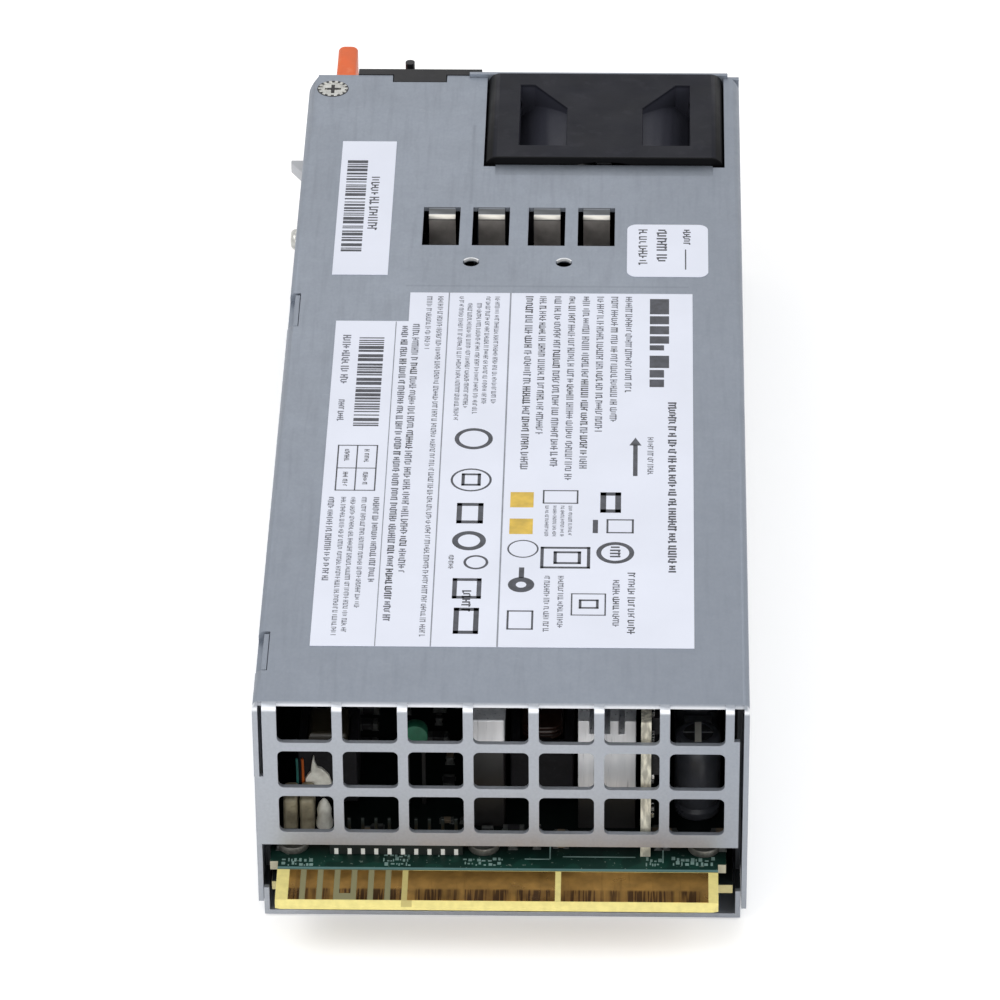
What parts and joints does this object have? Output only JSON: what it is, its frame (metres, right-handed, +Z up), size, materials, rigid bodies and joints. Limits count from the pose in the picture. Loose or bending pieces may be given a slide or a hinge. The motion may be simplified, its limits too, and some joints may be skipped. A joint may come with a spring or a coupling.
{
  "type": "server power supply",
  "caption": "Long sheet metal server power supply with a card edge under an outlet grille, a rear fan, a mains inlet on end, a spring latch and a folding wire bail.",
  "frame": {"origin": "on the underside of the case, on its centre line, in the plane of the outlet grille's front face", "axes": "+X to the right and +Y towards the mains end as seen from the card edge end, +Z up"},
  "size_m": [0.0763, 0.2137, 0.04],
  "materials": {
    "galvanised_steel": "satin",
    "spring_steel": "satin",
    "bright_wire": "polished",
    "coated_wire": "satin",
    "black_plastic": "matte",
    "orange_plastic": "satin",
    "white_plastic": "matte",
    "grey_plastic": "matte",
    "beige_plastic": "matte",
    "green_disc": "satin",
    "circuit_board": "satin",
    "gold_contact": "polished",
    "plated_metal": "satin",
    "aluminium": "satin",
    "can_sleeve": "satin",
    "ferrite": "matte",
    "coil_tape": "satin",
    "copper_wire": "polished",
    "film_sheet": "satin",
    "lead_cover": "matte",
    "lamp_lens": "polished",
    "label_film": "satin"
  },
  "bodies": {
    "case": {"tray": "galvanised_steel", "cover": "galvanised_steel", "end_plate": "galvanised_steel", "cover_screw": "plated_metal", "side_button": "plated_metal", "fan_frame": "black_plastic", "fan_motor": "black_plastic", "fan_guard": "bright_wire", "fan_screws": "plated_metal", "inlet_housing": "black_plastic", "inlet_blades": "plated_metal", "inlet_bezel": "black_plastic", "latch_root": "spring_steel", "latch_rivets": "plated_metal", "main_board": "circuit_board", "lower_board": "circuit_board", "insulator_sheet": "film_sheet", "signal_contacts": "gold_contact", "power_contacts": "gold_contact", "board_posts": "plated_metal", "board_screws": "plated_metal", "header_row": "white_plastic", "control_board": "circuit_board", "control_chips": "black_plastic", "output_capacitors": "can_sleeve", "output_terminal": "grey_plastic", "output_heatsink": "aluminium", "rectifier_heatsink": "aluminium", "film_capacitors": "beige_plastic", "thermistor": "green_disc", "output_choke_core": "ferrite", "output_choke_winding": "copper_wire", "standby_core": "ferrite", "standby_winding": "coil_tape", "transformer_core": "ferrite", "transformer_winding": "coil_tape", "boost_choke_core": "ferrite", "boost_choke_winding": "copper_wire", "filter_choke_core": "ferrite", "filter_choke_winding": "copper_wire", "primary_heatsink": "aluminium", "power_transistors": "black_plastic", "bulk_capacitors": "can_sleeve", "bridge_rectifier": "black_plastic", "filter_capacitors": "grey_plastic", "relay": "black_plastic", "fuse": "grey_plastic", "fan_plug": "white_plastic", "fan_leads": "lead_cover", "inlet_leads": "lead_cover", "status_lamp": "lamp_lens", "rating_label": "label_film", "serial_label": "label_film", "seal_label": "label_film"},
    "fan_rotor": {"fan_rotor": "black_plastic"},
    "latch": {"latch_leaf": "spring_steel", "latch_grip": "orange_plastic"},
    "bail": {"bail": "coated_wire"}
  },
  "joints": [
    {"name": "fan_spin", "type": "hinge", "parent": "case", "child": "fan_rotor", "pos_m": [0.0139, 0.17, 0.02], "axis": [0, 1, 0], "continuous": true},
    {"name": "latch_press", "type": "hinge", "parent": "case", "child": "latch", "pos_m": [-0.03465, 0.122, 0.0245], "axis": [0, 0, -1], "range_deg": [0, 3.6], "stiffness_Nm_per_rad": 4, "springref_deg": -1.15},
    {"name": "bail_swing", "type": "hinge", "parent": "case", "child": "bail", "pos_m": [-0.0198, 0.1894, 0.0196], "axis": [0, 0, 1], "range_deg": [0, 90]}
  ]
}
